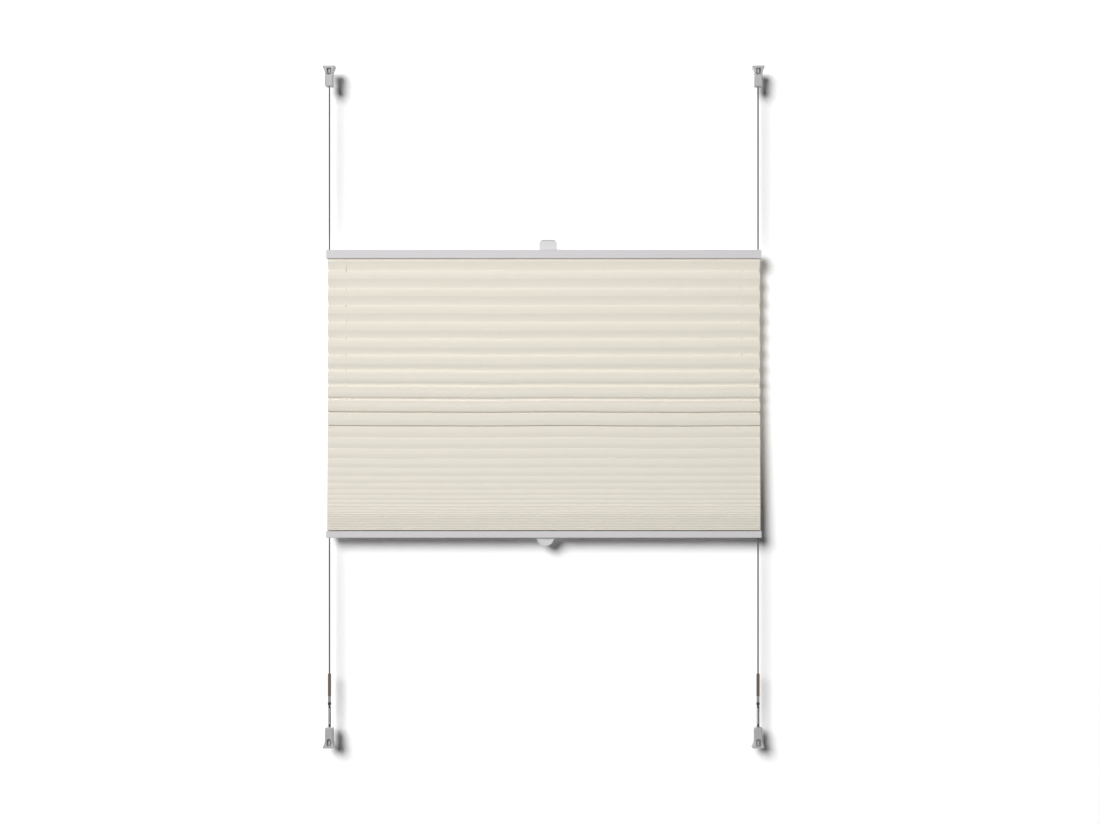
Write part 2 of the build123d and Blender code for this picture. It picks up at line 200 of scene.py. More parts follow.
def threads_group():
    """Threads that cross at right angles along a flat pattern's first two axes."""
    tree, given, out = new_tree(
        "Threads", "ShaderNodeTree",
        [("Place", "NodeSocketVector", None), ("Threads per metre", "NodeSocketFloat", 2600.0),
         ("Slub", "NodeSocketFloat", 0.35)],
        [("Mask", "NodeSocketFloat"), ("Height", "NodeSocketFloat")])
    crepe_size, crepe_height, crepe_turn = 420.0, 1.6, 9.0
    slub_sizes = (30.0, 900.0, 1.0)
    maths = Maths(tree)
    at = add(tree, "ShaderNodeSeparateXYZ", {0: given["Place"]}).outputs
    crepe = add(tree, "ShaderNodeTexNoise", {
        "Vector": given["Place"], "Scale": crepe_size, "Detail": 4.0})
    turn = maths("MULTIPLY", crepe.outputs[0], maths("MULTIPLY", given["Slub"], crepe_turn))

    def ridge(axis):
        count = maths("MULTIPLY", given["Threads per metre"], math.pi)
        phase = maths("MULTIPLY_ADD", at[axis], count, turn)
        return maths("ABSOLUTE", maths("SINE", phase))

    weave = maths("MULTIPLY", maths("ADD", ridge(0), ridge(1)), 0.5)
    drawn_out = add(tree, "ShaderNodeVectorMath", {0: given["Place"], 1: slub_sizes},
                    operation="MULTIPLY").outputs[0]
    slubs = add(tree, "ShaderNodeTexNoise", {"Vector": drawn_out, "Scale": 1.0, "Detail": 3.0})
    mask = maths("MULTIPLY_ADD", slubs.outputs[0], given["Slub"], maths("MULTIPLY", weave, 0.5))
    height = maths("ADD", weave, maths("MULTIPLY", crepe.outputs[0], crepe_height))
    linked(tree, out, {"Mask": mask, "Height": height})
    return tree


def braid_group():
    """Strands that cross round a thin upright cord."""
    tree, given, out = new_tree(
        "Braid", "ShaderNodeTree",
        [("Strands", "NodeSocketFloat", 8.0), ("Pitch", "NodeSocketFloat", 0.004)],
        [("Mask", "NodeSocketFloat"), ("Height", "NodeSocketFloat")])
    maths = Maths(tree)
    wrap = add(tree, "ShaderNodeAttribute", attribute_name="cord_wrap").outputs["Vector"]
    at = add(tree, "ShaderNodeSeparateXYZ", {0: wrap}).outputs
    climb = maths("DIVIDE", at[1], given["Pitch"])

    def strand(sign):
        phase = maths("MULTIPLY_ADD", climb, sign, at[0])
        turns = maths("MULTIPLY", maths("MULTIPLY", phase, given["Strands"]), math.pi)
        return maths("ABSOLUTE", maths("SINE", turns))

    crossed = maths("MAXIMUM", strand(1.0), strand(-1.0))
    linked(tree, out, {"Mask": crossed, "Height": crossed})
    return tree


def soft_pleats_group():
    """A normal leant to the front or back, more on a face that lies level than on an upright one.

    Light that scatters through thin cloth evens out the two faces of a pleat in this way."""
    tree, given, out = new_tree(
        "Soft pleats", "ShaderNodeTree",
        [("Lean when upright", "NodeSocketFloat", -0.25), ("Lean when level", "NodeSocketFloat", 1.9)],
        [("Normal", "NodeSocketVector")])
    facing = add(tree, "ShaderNodeNewGeometry").outputs["Normal"]
    at = add(tree, "ShaderNodeSeparateXYZ", {0: facing}).outputs
    maths = Maths(tree)
    lean = add(tree, "ShaderNodeMapRange", {
        "Value": maths("ABSOLUTE", at[2]), "From Min": 0.0, "From Max": 1.0,
        "To Min": given["Lean when upright"], "To Max": given["Lean when level"]}).outputs[0]
    forward = add(tree, "ShaderNodeCombineXYZ", {1: maths("MULTIPLY", maths("SIGN", at[1]), lean)})
    leant = add(tree, "ShaderNodeVectorMath", {0: facing, 1: forward.outputs[0]}, operation="ADD")
    unit = add(tree, "ShaderNodeVectorMath", {0: leant.outputs[0]}, operation="NORMALIZE")
    linked(tree, out, {"Normal": unit.outputs[0]})
    return tree


MAKERS = {"grain": grain_group, "threads": threads_group, "braid": braid_group,
          "soft pleats": soft_pleats_group}
GROUPS = {}
MASK_LOW, MASK_HIGH = 0.2, 0.8  # the part of a mask that its colours and roughness run over
RELIEF_STRENGTH = 0.6


def group(name):
    """A shared effect, built once."""
    if name not in GROUPS:
        GROUPS[name] = MAKERS[name]()
    return GROUPS[name]


def over_mask(tree, source, low, high):
    """Runs from low to high over an effect's mask."""
    return add(tree, "ShaderNodeMapRange", {
        "Value": source.outputs["Mask"], "From Min": MASK_LOW, "From Max": MASK_HIGH,
        "To Min": low, "To Max": high}).outputs[0]


def surface(name, effect, colour, dark, light, rough, bump, inputs=None, shader=None):
    """A material whose colour runs from dark to light times its own by an effect's mask."""
    material = bpy.data.materials.new(name)
    material.use_nodes = True
    tree = material.node_tree
    shade = tree.nodes["Principled BSDF"]
    source = add(tree, "ShaderNodeGroup", node_tree=group(effect))
    linked(tree, source, inputs or {})
    tint = add(tree, "ShaderNodeVectorMath", {
        0: tuple(colour), "Scale": over_mask(tree, source, dark, light)}, operation="SCALE")
    roughness = over_mask(tree, source, *rough)
    relief = add(tree, "ShaderNodeBump", {
        "Height": source.outputs["Height"], "Distance": bump, "Strength": RELIEF_STRENGTH})
    if effect == "threads":
        softened = add(tree, "ShaderNodeGroup", node_tree=group("soft pleats"))
        linked(tree, relief, {"Normal": softened.outputs[0]})
    linked(tree, shade, {
        "Base Color": tint.outputs[0], "Roughness": roughness, "Normal": relief.outputs[0]})
    linked(tree, shade, shader or {})
    return material


# ------------------------------------------------------------------ geometry helpers
def finished(obj, name):
    """A modifier's result as a plain mesh piece at the origin."""
    bpy.context.view_layer.update()
    evaluated = obj.evaluated_get(bpy.context.evaluated_depsgraph_get())
    mesh = bpy.data.meshes.new_from_object(evaluated)
    mesh.name = name
    bpy.data.objects.remove(obj)
    piece = bpy.data.objects.new(name, mesh)
    bpy.context.scene.collection.objects.link(piece)
    return piece


def from_tree(name, tree, inputs):
    """A piece made by a geometry tree with these inputs."""
    carrier = bpy.data.objects.new(name + "_carrier", bpy.data.meshes.new(name))
    bpy.context.scene.collection.objects.link(carrier)
    modifier = carrier.modifiers.new("Shape", "NODES")
    modifier.node_group = tree
    for item in tree.interface.items_tree:
        if item.item_type == "SOCKET" and item.in_out == "INPUT" and item.name in inputs:
            modifier[item.identifier] = inputs[item.name]
    return finished(carrier, name)


def paint(tree, shape, given, out):
    """Ends a geometry tree with a plain mesh and its material."""
    solid = add(tree, "GeometryNodeRealizeInstances", {0: shape.outputs[0]})
    painted = add(tree, "GeometryNodeSetMaterial", {
        "Geometry": solid.outputs[0], "Material": given["Material"]})
    linked(tree, out, {"Mesh": painted.outputs[0]})


def even_blend(piece, body_a, body_b, start, end):
    """Bakes the piece's placement into its mesh."""
    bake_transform(piece)


# ------------------------------------------------------------------ cloth
# a fold rounds off as its pleat closes: the drops of a face at which that starts and is done
ROUND_FROM, ROUND_DONE = 0.0157, 0.0082
NOSE_HEIGHT = 0.95  # of a full nose, as a share of the face's drop
NOSE_REACH_LEAST, FADE_FROM_LEAST, FADE_DONE = 0.02, 0.1, 0.8  # shares of a face
DEPTH_SPENT = 0.72  # depth that a round pleat gives up, for each metre of its drop
SHALLOW_RATE = 1.8  # how much sooner that depth goes than the nose grows
# slow wander of the folds: its waves in a metre along and down the cloth, and its gain
STRAY_ALONG, STRAY_DOWN, STRAY_GAIN = 3.2, 2.6, 4.0
# finer ripple of each fold by itself: its waves in a metre and in a face, and its height
RIPPLE_ALONG, RIPPLE_EACH, RIPPLE = 9.0, 1.7, 0.0016
LOWER_HEM_Y = 0.0015  # where the cloth goes into the bottom rail
UPPER_HEM_DEPTH, LOWER_HEM_DEPTH = 0.005, 0.009  # front to back run of the short faces
CLOTH_FOLD_ANGLE = math.radians(42)
CORD_PLAY = 0.00015  # between a guide cord and its hole in the cloth
RING_STEP = 0.005  # from one ring of a cord's mesh to the next


def other_leg(maths, slant, leg):
    """The other leg of a right-angled triangle: a face's depth from its drop."""
    square = maths("SUBTRACT", maths("POWER", slant, 2.0), maths("POWER", leg, 2.0))
    return maths("SQRT", square)


def pleat_rule(kind):
    """Geometry group for one rule of the folded cloth: the drop of a face, or the place of a fold."""
    shared = [("Index", "NodeSocketFloat", None), ("Faces", "NodeSocketFloat", None),
              ("Face", "NodeSocketFloat", None), ("Open", "NodeSocketFloat", None),
              ("Closed", "NodeSocketFloat", None), ("Stack", "NodeSocketFloat", None)]
    tree, given, out = new_tree(kind, "GeometryNodeTree", shared, [("Value", "NodeSocketFloat")])
    maths = Maths(tree)
    if kind == "Face drop":
        last = maths("SUBTRACT", given["Faces"], 1.0)
        held = maths("MINIMUM", maths("MAXIMUM", given["Index"], 0.0), last)
        along = maths("MINIMUM", maths("DIVIDE", maths("MULTIPLY", held, 0.5), given["Stack"]), 1.0)
        swing = maths("MULTIPLY_ADD", maths("COSINE", maths("MULTIPLY", along, math.pi)), 0.5, 0.5)
        extra = maths("SUBTRACT", given["Open"], given["Closed"])
        pitch = maths("MULTIPLY_ADD", extra, swing, given["Closed"])
        linked(tree, out, {"Value": maths("MULTIPLY", pitch, 0.5)})
        return tree
    depths = []
    for back in (1.0, 0.0):
        step = maths("SUBTRACT", given["Index"], back)
        drop = add(tree, "GeometryNodeGroup", node_tree=bpy.data.node_groups["Face drop"])
        linked(tree, drop, {"Index": step, **{label: given[label] for label, _, _ in shared[1:]}})
        depths.append(other_leg(maths, given["Face"], drop.outputs[0]))
    odd = maths("ROUND", maths("MODULO", given["Index"], 2.0))
    sign = maths("MULTIPLY_ADD", odd, 2.0, -1.0)
    half_depth = maths("MULTIPLY", maths("ADD", *depths), 0.25)
    linked(tree, out, {"Value": maths("MULTIPLY", sign, half_depth)})
    return tree


def pleated_tree():
    """A sheet folded into pleats that close up downwards, from one fold to another."""
    drop_rule, fold_rule = pleat_rule("Face drop"), pleat_rule("Fold place")
    tree, given, out = new_tree("Pleated sheet", "GeometryNodeTree", [
        ("Width", "NodeSocketFloat", 0.8), ("Top", "NodeSocketFloat", 0.0),
        ("Height", "NodeSocketFloat", 0.5), ("Faces", "NodeSocketFloat", 67.0),
        ("Face", "NodeSocketFloat", 0.02), ("Open", "NodeSocketFloat", 0.03),
        ("Closed", "NodeSocketFloat", 0.003), ("Stack", "NodeSocketFloat", 26.5),
        ("First drop", "NodeSocketFloat", 0.005), ("Last rise", "NodeSocketFloat", 0.001),
        ("Tuck", "NodeSocketFloat", 0.001),
        ("Leaves top", "NodeSocketFloat", 0.0), ("Leaves bottom", "NodeSocketFloat", 0.0),
        ("Crowding", "NodeSocketFloat", 2.2), ("Groove", "NodeSocketFloat", 0.0003),
        ("Wander", "NodeSocketFloat", 0.002), ("From fold", "NodeSocketFloat", 0.0),
        ("To fold", "NodeSocketFloat", 100.0), ("Columns", "NodeSocketInt", 90),
        ("Rows", "NodeSocketInt", 6), ("Material", "NodeSocketMaterial", None)],
        [("Mesh", "NodeSocketGeometry")])
    maths = Maths(tree)
    law = {key: given[key] for key in ("Faces", "Face", "Open", "Closed", "Stack")}
    strips = maths("ADD", given["Faces"], 2.0)
    rows = maths("ADD", maths("MULTIPLY", strips, given["Rows"]), 1.0)
    grid = add(tree, "GeometryNodeMeshGrid", {
        "Size X": given["Width"], "Size Y": 1.0, "Vertices X": given["Columns"], "Vertices Y": rows})
    index = add(tree, "GeometryNodeInputIndex").outputs[0]
    row = maths("FLOORED_MODULO", index, rows)
    column = maths("FLOOR", maths("DIVIDE", maths("ADD", index, 0.5), rows))
    even_along = maths("DIVIDE", row, given["Rows"])
    strip = maths("FLOOR", maths("ADD", even_along, 0.001))
    even_share = maths("SUBTRACT", even_along, strip)

    def rule(which, step):
        """A rule's value at a face or a fold."""
        asked = add(tree, "GeometryNodeGroup", node_tree=which)
        return linked(tree, asked, {"Index": step, **law}).outputs[0]

    def pick(test, yes, no):
        """yes where test is 1, no where it is 0."""
        return maths("MULTIPLY_ADD", test, maths("SUBTRACT", yes, no), no)

    def fold_y(step):
        """Depth of a fold, counting the edge in the top rail as fold 0."""
        inner = rule(fold_rule, maths("SUBTRACT", step, 1.0))
        at_start = maths("LESS_THAN", step, 0.5)
        at_end = maths("GREATER_THAN", step, maths("SUBTRACT", strips, 0.5))
        return pick(at_end, given["Leaves bottom"], pick(at_start, given["Leaves top"], inner))

    # rows crowd towards each front fold, which rounds off as its pleat closes
    starts_front = maths("ROUND", maths("MODULO", strip, 2.0))
    even_back = pick(starts_front, even_share, maths("SUBTRACT", 1.0, even_share))
    back = maths("POWER", even_back, given["Crowding"])
    share = pick(starts_front, back, maths("SUBTRACT", 1.0, back))
    along = maths("ADD", strip, share)
    # heights: each face drops by its rule, and the sum is fitted between the rails
    ruled = rule(drop_rule, maths("SUBTRACT", strip, 1.0))
    after_first = maths("GREATER_THAN", strip, 0.5)
    before_last = maths("LESS_THAN", strip, maths("SUBTRACT", strips, 1.5))
    ruled = maths("MULTIPLY", ruled, maths("MULTIPLY", after_first, before_last))
    sums = add(tree, "GeometryNodeAccumulateField", {"Value": ruled, "Group ID": column},
               data_type="FLOAT", domain="POINT")
    total = maths("DIVIDE", sums.outputs["Total"], given["Rows"])
    room = maths("SUBTRACT", maths("SUBTRACT", given["Height"], given["First drop"]), given["Last rise"])
    fit = maths("DIVIDE", room, total)
    at_rows = maths("DIVIDE", sums.outputs["Trailing"], given["Rows"])
    drop = maths("MULTIPLY", ruled, fit)
    uneven_share = maths("SUBTRACT", share, even_share)
    fallen = maths("MULTIPLY_ADD", uneven_share, drop, maths("MULTIPLY", at_rows, fit))
    first_share = maths("MINIMUM", along, 1.0)
    first = maths("MULTIPLY", first_share, maths("ADD", given["First drop"], given["Tuck"]))
    last_share = maths("MAXIMUM", maths("SUBTRACT", along, maths("SUBTRACT", strips, 1.0)), 0.0)
    last = maths("MULTIPLY", last_share, maths("ADD", given["Last rise"], given["Tuck"]))
    z = maths("SUBTRACT", maths("ADD", given["Top"], given["Tuck"]),
              maths("ADD", fallen, maths("ADD", first, last)))
    # noses: a front fold bulges up and down by a quarter round that fades along the face
    closed = add(tree, "ShaderNodeMapRange", {
        "Value": drop, "From Min": ROUND_FROM, "From Max": ROUND_DONE,
        "To Min": 0.0, "To Max": 1.0}).outputs[0]
    full_nose = maths("MULTIPLY_ADD", given["Groove"], -0.5, maths("MULTIPLY", drop, NOSE_HEIGHT))
    tall = maths("MULTIPLY", full_nose, closed)
    reach = maths("MAXIMUM", maths("DIVIDE", tall, given["Face"]), NOSE_REACH_LEAST)
    inset = maths("SUBTRACT", 1.0, maths("MINIMUM", maths("DIVIDE", back, reach), 1.0))
    arc = maths("SQRT", maths("SUBTRACT", 1.0, maths("POWER", inset, 2.0)))
    fade = add(tree, "ShaderNodeMapRange", {
        "Value": back, "From Min": maths("MAXIMUM", reach, FADE_FROM_LEAST), "From Max": FADE_DONE,
        "To Min": 1.0, "To Max": 0.0}, interpolation_type="SMOOTHSTEP").outputs[0]
    nose = maths("MULTIPLY", tall, maths("MULTIPLY", arc, fade))
    z = maths("SUBTRACT", z, pick(starts_front, nose, maths("MULTIPLY", nose, -1.0)))
    y = add(tree, "ShaderNodeMix", {
        "Factor": share, "A": fold_y(strip), "B": fold_y(maths("ADD", strip, 1.0))},
        data_type="FLOAT").outputs[0]
    # a rounded pleat uses up cloth in its nose, so it reaches less deep than a flat one
    flat_depth = other_leg(maths, given["Face"], drop)
    round_depth = maths("MULTIPLY_ADD", drop, -DEPTH_SPENT, given["Face"])
    shallow = maths("MINIMUM", maths("MULTIPLY", closed, SHALLOW_RATE), 1.0)
    taken = maths("MULTIPLY", shallow, maths("SUBTRACT", 1.0, maths("DIVIDE", round_depth, flat_depth)))
    y = maths("MULTIPLY", y, maths("SUBTRACT", 1.0, taken))
    # folds wander from level between the rails, and ripple less towards the stack
    start = add(tree, "GeometryNodeInputPosition").outputs[0]
    x = add(tree, "ShaderNodeSeparateXYZ", {0: start}).outputs[0]
    spot = add(tree, "ShaderNodeCombineXYZ", {
        0: maths("MULTIPLY", x, STRAY_ALONG), 1: maths("MULTIPLY", z, STRAY_DOWN)})
    broad = add(tree, "ShaderNodeTexNoise", {"Vector": spot.outputs[0], "Scale": 1.0, "Detail": 1.0})
    deep = maths("DIVIDE", maths("SUBTRACT", given["Top"], z), given["Height"])
    within = add(tree, "ShaderNodeClamp", {0: deep}).outputs[0]
    held = maths("SINE", maths("MULTIPLY", within, math.pi))
    either_way = maths("MULTIPLY", maths("SUBTRACT", broad.outputs[0], 0.5), STRAY_GAIN)
    stray = maths("MULTIPLY", either_way, maths("MULTIPLY", given["Wander"], held))
    own = add(tree, "ShaderNodeCombineXYZ", {
        0: maths("MULTIPLY", x, RIPPLE_ALONG), 1: maths("MULTIPLY", along, RIPPLE_EACH)})
    uneven = add(tree, "ShaderNodeTexNoise", {"Vector": own.outputs[0], "Scale": 1.0, "Detail": 2.0})
    ripple = maths("MULTIPLY", maths("SUBTRACT", uneven.outputs[0], 0.5),
                   maths("MULTIPLY", held, RIPPLE))
    z = maths("ADD", z, maths("ADD", stray, maths("MULTIPLY", ripple, maths("SUBTRACT", 1.0, deep))))
    place = add(tree, "ShaderNodeCombineXYZ", {0: x, 1: y, 2: z})
    folded = add(tree, "GeometryNodeSetPosition", {
        "Geometry": grid.outputs["Mesh"], "Position": place.outputs[0]})
    flat = add(tree, "ShaderNodeCombineXYZ", {0: x, 1: maths("MULTIPLY", along, given["Face"])})
    stored = add(tree, "GeometryNodeStoreNamedAttribute", {
        "Geometry": folded.outputs[0], "Name": "flat_place", "Value": flat.outputs[0]},
        data_type="FLOAT_VECTOR", domain="POINT")
    beyond = maths("ADD", maths("LESS_THAN", along, maths("SUBTRACT", given["From fold"], 0.01)),
                   maths("GREATER_THAN", along, maths("ADD", given["To fold"], 0.01)))
    cut = add(tree, "GeometryNodeDeleteGeometry", {"Geometry": stored.outputs[0], "Selection": beyond},
              domain="POINT")
    paint(tree, cut, given, out)
    return tree


def fold_levels(cloth):
    """The height of each fold, from the edge in the top rail to the edge in the bottom rail."""
    faces = 2 * cloth.pleats - 1
    drops = []
    for face in range(faces):
        along = min(face / 2 / cloth.stack_from, 1.0)
        swing = 0.5 + 0.5 * math.cos(math.pi * along)
        drops.append((cloth.closed_pitch + (cloth.open_pitch - cloth.closed_pitch) * swing) / 2)
    fit = (TOP_RAIL_LOW - BOTTOM_RAIL_HIGH - cloth.first_drop - cloth.last_rise) / sum(drops)
    levels = [TOP_RAIL_LOW + cloth.tuck, TOP_RAIL_LOW - cloth.first_drop]
    for drop in drops:
        levels.append(levels[-1] - drop * fit)
    return levels + [BOTTOM_RAIL_HIGH - cloth.tuck]


def between_rails(name, side, low, high, rail_level, cloth, radius, material=None):
    """A guide cord, or a drill for its hole, from a rail through the pleats near their back."""
    corner, other = (Vector(c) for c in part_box(f"cloth_cord_from_{side}"))
    middle = (corner + other) / 2
    return from_tree(name, bpy.data.node_groups["Upright cord"], {
        "X": middle.x, "Y": middle.y, "Low": low, "High": high, "Radius": radius,
        "Fixed": rail_level, "Behind": cloth.cord_depth - middle.y,
        "Rings": round((high - low) / RING_STEP), "Material": material})


def punched(piece, cloth, low, high, rail_level):
    """The sheet with its cord holes cut out."""
    for side in SIDES:
        drill = between_rails("drill", side, low - MM, high + MM, rail_level, cloth, cloth.hole)
        cut = piece.modifiers.new("Hole", "BOOLEAN")
        cut.operation, cut.solver, cut.object = "DIFFERENCE", "MANIFOLD", drill
        bpy.context.view_layer.objects.active = piece
        bpy.ops.object.modifier_apply(modifier=cut.name)
        bpy.data.objects.remove(drill)


class BLIND_OT_cloth(bpy.types.Operator):
    """Fold the cloth between the rails"""
    bl_idname = "blind.cloth"
    bl_label = "Pleated Cloth"

    def execute(self, context):
        cloth = context.scene.blind_cloth
        linen = surface(
            "Cream crepe", "threads", cloth.colour, 0.96, 1.03, (0.86, 0.95), 0.00012,
            shader={"Specular IOR Level": 0.25, "Sheen Weight": 0.15, "Sheen Roughness": 0.6})
        threads = next(n for n in linen.node_tree.nodes if n.type == "GROUP")
        flat = add(linen.node_tree, "ShaderNodeAttribute", attribute_name="flat_place")
        linked(linen.node_tree, threads, {"Place": flat.outputs["Vector"]})
        levels = fold_levels(cloth)
        still = min(range(len(levels)), key=lambda fold: abs(levels[fold] - cloth.still_height))
        drop = levels[1] - levels[2]
        slope = math.sqrt(cloth.face**2 - drop**2) / drop
        first_fold_y = -cloth.face / 2 * math.sin(math.atan(slope))
        tree = pleated_tree()
        rule = {
            "Width": CLOTH_HIGH.x - CLOTH_LOW.x, "Top": TOP_RAIL_LOW,
            "Height": TOP_RAIL_LOW - BOTTOM_RAIL_HIGH,
            "Faces": float(2 * cloth.pleats - 1), "Face": cloth.face, "Open": cloth.open_pitch,
            "Closed": cloth.closed_pitch, "Stack": cloth.stack_from, "First drop": cloth.first_drop,
            "Last rise": cloth.last_rise, "Tuck": cloth.tuck,
            "Leaves top": first_fold_y + (cloth.first_drop + cloth.tuck) * slope,
            "Leaves bottom": LOWER_HEM_Y, "Wander": cloth.wander, "Material": linen}
        last = len(levels) - 1
        for name, start, end, bodies in (
                ("cloth_upper", 0, still, ("top_rail", "root")),
                ("cloth_lower", still, last, ("root", "bottom_rail"))):
            piece = from_tree(name, tree, {**rule, "From fold": float(start), "To fold": float(end)})
            thick = piece.modifiers.new("Thickness", "SOLIDIFY")
            thick.thickness, thick.offset = cloth.thickness, 0.0
            piece = finished(piece, name)
            punched(piece, cloth, levels[end], levels[start],
                    TOP_RAIL_LOW if start == 0 else BOTTOM_RAIL_HIGH)
            piece.data.set_sharp_from_angle(angle=CLOTH_FOLD_ANGLE)
            even_blend(piece, *bodies, levels[start], levels[end])
            lengths = sum(cloth.face for fold in range(start, end) if 0 < fold < last - 1)
            for fold, depth in ((0, UPPER_HEM_DEPTH), (last - 1, LOWER_HEM_DEPTH)):
                if start <= fold < end:
                    lengths += math.hypot(levels[fold] - levels[fold + 1], depth)
            if start == 0:
                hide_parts("pleated_cloth")
        return {"FINISHED"}


# ------------------------------------------------------------------ cords
BOW_RUN = 0.03  # over this length a cord bends from a rail's hole to its place in the pleats
CORD_SIDES = 16
CORD_EDGE_ANGLE = math.radians(50)


def cord_tree():
    """An upright cord: a line swept with a ring, with its wrap stored for the braid."""
    tree, given, out = new_tree("Upright cord", "GeometryNodeTree", [
        ("X", "NodeSocketFloat", 0.0), ("Y", "NodeSocketFloat", 0.0), ("Low", "NodeSocketFloat", 0.0),
        ("High", "NodeSocketFloat", 1.0), ("Radius", "NodeSocketFloat", 0.001),
        ("Fixed", "NodeSocketFloat", 10.0), ("Behind", "NodeSocketFloat", 0.0),
        ("Rings", "NodeSocketInt", 40), ("Material", "NodeSocketMaterial", None)],
        [("Mesh", "NodeSocketGeometry")])
    maths = Maths(tree)
    middle = maths("MULTIPLY", maths("ADD", given["Low"], given["High"]), 0.5)
    tube = add(tree, "GeometryNodeMeshCylinder", {
        "Vertices": CORD_SIDES, "Side Segments": given["Rings"], "Radius": given["Radius"],
        "Depth": maths("SUBTRACT", given["High"], given["Low"])}, fill_type="NGON")
    place = add(tree, "GeometryNodeInputPosition").outputs[0]
    at = add(tree, "ShaderNodeSeparateXYZ", {0: place}).outputs
    angle = maths("DIVIDE", maths("ARCTAN2", at[1], at[0]), 2 * math.pi)
    wrap = add(tree, "ShaderNodeCombineXYZ", {0: angle, 1: at[2]})
    stored = add(tree, "GeometryNodeStoreNamedAttribute", {
        "Geometry": tube.outputs["Mesh"], "Name": "cord_wrap", "Value": wrap.outputs[0]},
        data_type="FLOAT_VECTOR", domain="POINT")
    from_rail = maths("ABSOLUTE", maths("SUBTRACT", maths("ADD", at[2], middle), given["Fixed"]))
    bow = add(tree, "ShaderNodeMapRange", {
        "Value": from_rail, "From Min": 0.0, "From Max": BOW_RUN,
        "To Min": 0.0, "To Max": given["Behind"]},
        interpolation_type="SMOOTHSTEP").outputs[0]
    shift = add(tree, "ShaderNodeCombineXYZ", {
        0: given["X"], 1: maths("ADD", given["Y"], bow), 2: middle})
    moved = add(tree, "GeometryNodeSetPosition", {
        "Geometry": stored.outputs[0], "Offset": shift.outputs[0]})
    paint(tree, moved, given, out)
    return tree


class BLIND_OT_cords(bpy.types.Operator):
    """Run the guide cords between the shoes and the rails, and through the cloth"""
    bl_idname = "blind.cords"
    bl_label = "Guide Cords"

    def execute(self, context):
        finish = context.scene.blind_finish
        cloth = context.scene.blind_cloth
        braid = surface("Grey braid", "braid", finish.cord, 0.8, 1.15, (0.7, 0.85), 0.0002,
                        shader={"Specular IOR Level": 0.3})
        pale_braid = surface("Cream braid", "braid", cloth.colour, 0.9, 1.05, (0.8, 0.9), 0.0002,
                             shader={"Specular IOR Level": 0.25})
        tree = cord_tree()
        still = min(fold_levels(cloth), key=lambda level: abs(level - cloth.still_height))

        def outside(name, node, low, high):
            """A bare stretch between a shoe or a tensioner and a rail."""
            corner, other = (Vector(c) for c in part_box(node))
            return from_tree(name, tree, {
                "X": (corner.x + other.x) / 2, "Y": (corner.y + other.y) / 2, "Low": low, "High": high,
                "Radius": finish.cord_radius, "Rings": round((high - low) / RING_STEP),
                "Material": braid})

        def tied(piece, node, low, high, weld):
            """weld is the body at the lower and at the upper end; it is not used."""
            piece.data.set_sharp_from_angle(angle=CORD_EDGE_ANGLE)
            even_blend(piece, *weld, low, high)
            if node:
                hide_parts(node)

        for side in SIDES:
            for place, node, low, high, weld in (
                    ("above", f"{side}_upper_cord", TOP_RAIL_HIGH, face_of(f"{side}_upper_cord", 1),
                     ("top_rail", "root")),
                    ("below", f"{side}_lower_cord", face_of(f"{side}_lower_cord", 0), BOTTOM_RAIL_LOW,
                     ("root", "bottom_rail"))):
                tied(outside(f"{side}_cord_{place}", node, low, high), node, low, high, weld)
            for place, low, high, rail_level, weld in (
                    ("high", still, TOP_RAIL_LOW, TOP_RAIL_LOW, ("root", "top_rail")),
                    ("low", BOTTOM_RAIL_HIGH, still, BOTTOM_RAIL_HIGH, ("bottom_rail", "root"))):
                piece = between_rails(f"cloth_cord_{side}_{place}", side, low, high, rail_level, cloth,
                                      cloth.hole - CORD_PLAY, pale_braid)
                tied(piece, f"cloth_cord_from_{side}" if place == "high" else None, low, high, weld)
        return {"FINISHED"}


